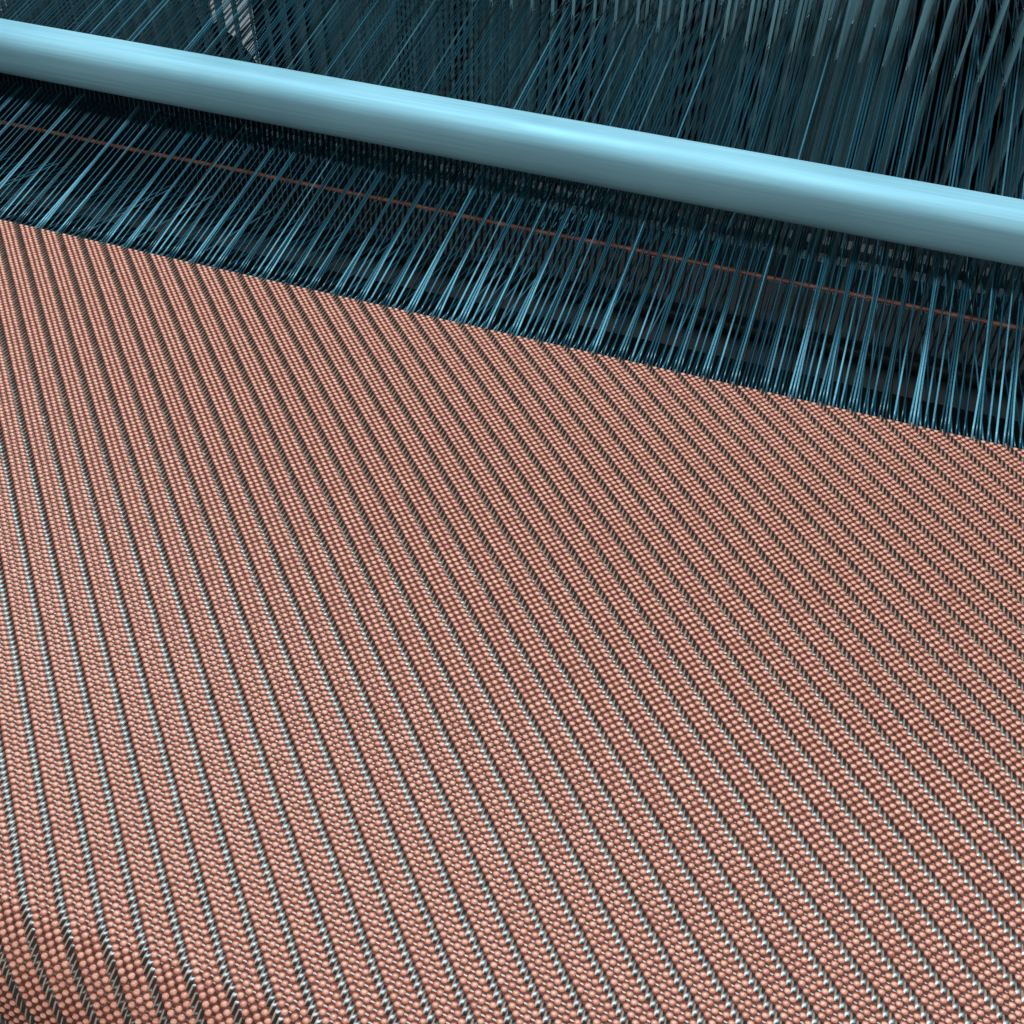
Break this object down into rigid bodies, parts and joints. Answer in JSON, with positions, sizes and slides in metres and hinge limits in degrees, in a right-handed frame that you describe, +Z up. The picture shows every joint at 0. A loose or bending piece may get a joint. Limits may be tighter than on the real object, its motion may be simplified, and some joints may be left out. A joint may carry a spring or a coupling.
{
  "type": "power loom",
  "caption": "Power loom with weft jet, eight heald shafts, swinging reed, warp beam, take-up rollers and twill cloth in work.",
  "frame": {"origin": "on the floor, at the centre of the four foot bolts", "axes": "+X to the weaver's right along the weft, +Y from the cloth side to the warp beam, +Z up"},
  "size_m": [2.055, 1.206, 1.1883],
  "materials": {
    "cast_frame": "painted casting",
    "painted_steel": "satin enamel",
    "housing": "satin enamel",
    "sley_paint": "satin enamel",
    "bright_steel": "ground",
    "reed_steel": "polished",
    "heald_steel": "bright",
    "shaft_aluminium": "anodised",
    "grip_roller": "grit-covered",
    "cloth": "woven filament",
    "warp": "glossy filament",
    "weft": "filament",
    "belt": "matt",
    "brass": "turned",
    "box_enamel": "powder coat",
    "start_green": "moulded",
    "stop_red": "moulded"
  },
  "bodies": {
    "root": {"left_side_frame": "cast_frame", "right_side_frame": "cast_frame", "cross_beams": "painted_steel", "breast_bar": "bright_steel", "cloth_web": "cloth", "shaft_guides": "shaft_aluminium", "shedding_case": "housing", "sley_gearboxes": "housing", "temples": "bright_steel", "jet_nozzle": "bright_steel", "weft_feeder": "housing", "weft_cone": "weft", "main_motor": "housing", "drive_belt": "belt", "let_off_case": "housing", "warp_back_sheet": "warp", "stop_motion": "bright_steel", "take_up_case": "housing", "control_box": "box_enamel", "warp_ends_1": "warp", "warp_ends_2": "warp", "warp_ends_3": "warp", "warp_ends_4": "warp", "warp_ends_5": "warp", "warp_ends_6": "warp", "warp_ends_7": "warp", "warp_ends_8": "warp"},
    "temple_rollers": {"temple_rollers": "brass"},
    "feeder": {"feeder_disc": "shaft_aluminium"},
    "motor_pulley": {"motor_pulley": "painted_steel"},
    "drive": {"drive_pulley": "painted_steel"},
    "let_off_pinion": {"let_off_pinion": "bright_steel"},
    "beam": {"warp_beam": "shaft_aluminium", "beam_yarn": "warp"},
    "back_rest": {"back_rest": "bright_steel"},
    "take_up": {"take_up_roller": "grip_roller"},
    "take_up_pinion": {"take_up_pinion": "bright_steel"},
    "press_roller": {"press_roller": "grip_roller"},
    "cloth_roll": {"cloth_roll": "cloth"},
    "start_button": {"start_button": "start_green"},
    "stop_button": {"stop_button": "stop_red"},
    "sley": {"sley_beam": "sley_paint", "reed": "reed_steel", "open_pick": "weft"},
    "shaft_1": {"heald_frame_1": "shaft_aluminium", "healds_1": "heald_steel"},
    "shaft_2": {"heald_frame_2": "shaft_aluminium", "healds_2": "heald_steel"},
    "shaft_3": {"heald_frame_3": "shaft_aluminium", "healds_3": "heald_steel"},
    "shaft_4": {"heald_frame_4": "shaft_aluminium", "healds_4": "heald_steel"},
    "shaft_5": {"heald_frame_5": "shaft_aluminium", "healds_5": "heald_steel"},
    "shaft_6": {"heald_frame_6": "shaft_aluminium", "healds_6": "heald_steel"},
    "shaft_7": {"heald_frame_7": "shaft_aluminium", "healds_7": "heald_steel"},
    "shaft_8": {"heald_frame_8": "shaft_aluminium", "healds_8": "heald_steel"}
  },
  "joints": [
    {"name": "sley_swing", "type": "hinge", "parent": "root", "child": "sley", "pos_m": [0, -0.219, 0.35], "axis": [1, 0, 0], "range_deg": [-1.5, 7], "deforming": ["open_pick"]},
    {"name": "shaft_1_lift", "type": "slide", "parent": "root", "child": "shaft_1", "axis": [0, 0, 1], "range_m": [-0.0739, 0], "deforming": ["warp_ends_1"]},
    {"name": "shaft_2_lift", "type": "slide", "parent": "root", "child": "shaft_2", "axis": [0, 0, 1], "range_m": [0, 0.0793], "deforming": ["warp_ends_2"]},
    {"name": "shaft_3_lift", "type": "slide", "parent": "root", "child": "shaft_3", "axis": [0, 0, 1], "range_m": [-0.0847, 0], "deforming": ["warp_ends_3"]},
    {"name": "shaft_4_lift", "type": "slide", "parent": "root", "child": "shaft_4", "axis": [0, 0, 1], "range_m": [0, 0.0902], "deforming": ["warp_ends_4"]},
    {"name": "shaft_5_lift", "type": "slide", "parent": "root", "child": "shaft_5", "axis": [0, 0, 1], "range_m": [-0.0956, 0], "deforming": ["warp_ends_5"]},
    {"name": "shaft_6_lift", "type": "slide", "parent": "root", "child": "shaft_6", "axis": [0, 0, 1], "range_m": [-0.1011, 0], "deforming": ["warp_ends_6"]},
    {"name": "shaft_7_lift", "type": "slide", "parent": "root", "child": "shaft_7", "axis": [0, 0, 1], "range_m": [-0.1065, 0], "deforming": ["warp_ends_7"]},
    {"name": "shaft_8_lift", "type": "slide", "parent": "root", "child": "shaft_8", "axis": [0, 0, 1], "range_m": [0, 0.112], "deforming": ["warp_ends_8"]},
    {"name": "beam_turn", "type": "hinge", "parent": "root", "child": "beam", "pos_m": [0, 0.34, 0.48], "axis": [1, 0, 0], "continuous": true},
    {"name": "back_rest_turn", "type": "hinge", "parent": "root", "child": "back_rest", "pos_m": [0, 0.52, 0.89945], "axis": [1, 0, 0], "continuous": true},
    {"name": "let_off_pinion_turn", "type": "hinge", "parent": "root", "child": "let_off_pinion", "pos_m": [0, 0.26305, 0.26857], "axis": [1, 0, 0], "continuous": true},
    {"name": "take_up_turn", "type": "hinge", "parent": "root", "child": "take_up", "pos_m": [0, -0.443, 0.7894], "axis": [1, 0, 0], "continuous": true},
    {"name": "take_up_pinion_turn", "type": "hinge", "parent": "root", "child": "take_up_pinion", "pos_m": [0, -0.347, 0.7894], "axis": [1, 0, 0], "continuous": true},
    {"name": "press_roller_turn", "type": "hinge", "parent": "root", "child": "press_roller", "pos_m": [0, -0.524, 0.75992], "axis": [1, 0, 0], "continuous": true},
    {"name": "cloth_roll_turn", "type": "hinge", "parent": "root", "child": "cloth_roll", "pos_m": [0, -0.443, 0.6182], "axis": [1, 0, 0], "continuous": true},
    {"name": "temple_roller_turn", "type": "hinge", "parent": "root", "child": "temple_rollers", "pos_m": [0, -0.288, 0.9599], "axis": [1, 0, 0], "continuous": true},
    {"name": "drive_turn", "type": "hinge", "parent": "root", "child": "drive", "pos_m": [0, -0.11, 0.35], "axis": [1, 0, 0], "continuous": true},
    {"name": "motor_pulley_turn", "type": "hinge", "parent": "root", "child": "motor_pulley", "pos_m": [0, 0.02, 0.165], "axis": [1, 0, 0], "continuous": true},
    {"name": "feeder_turn", "type": "hinge", "parent": "root", "child": "feeder", "pos_m": [0, -0.1756, 0.9474], "axis": [1, 0, 0], "continuous": true},
    {"name": "start_press", "type": "slide", "parent": "root", "child": "start_button", "axis": [0, 1, 0], "range_m": [0, 0.004], "stiffness_N_per_m": 600, "springref_m": -0.001},
    {"name": "stop_press", "type": "slide", "parent": "root", "child": "stop_button", "axis": [0, 1, 0], "range_m": [0, 0.004], "stiffness_N_per_m": 600, "springref_m": -0.001}
  ],
  "couplings": [
    {"joint": "back_rest_turn", "follows": "beam_turn", "ratio": 4.6},
    {"joint": "let_off_pinion_turn", "follows": "beam_turn", "ratio": -4},
    {"joint": "take_up_pinion_turn", "follows": "take_up_turn", "ratio": -3},
    {"joint": "press_roller_turn", "follows": "take_up_turn", "ratio": -2.424},
    {"joint": "cloth_roll_turn", "follows": "take_up_turn", "ratio": -0.55091},
    {"joint": "temple_roller_turn", "follows": "take_up_turn", "ratio": -6.7333},
    {"joint": "motor_pulley_turn", "follows": "drive_turn", "ratio": 2.7418}
  ]
}
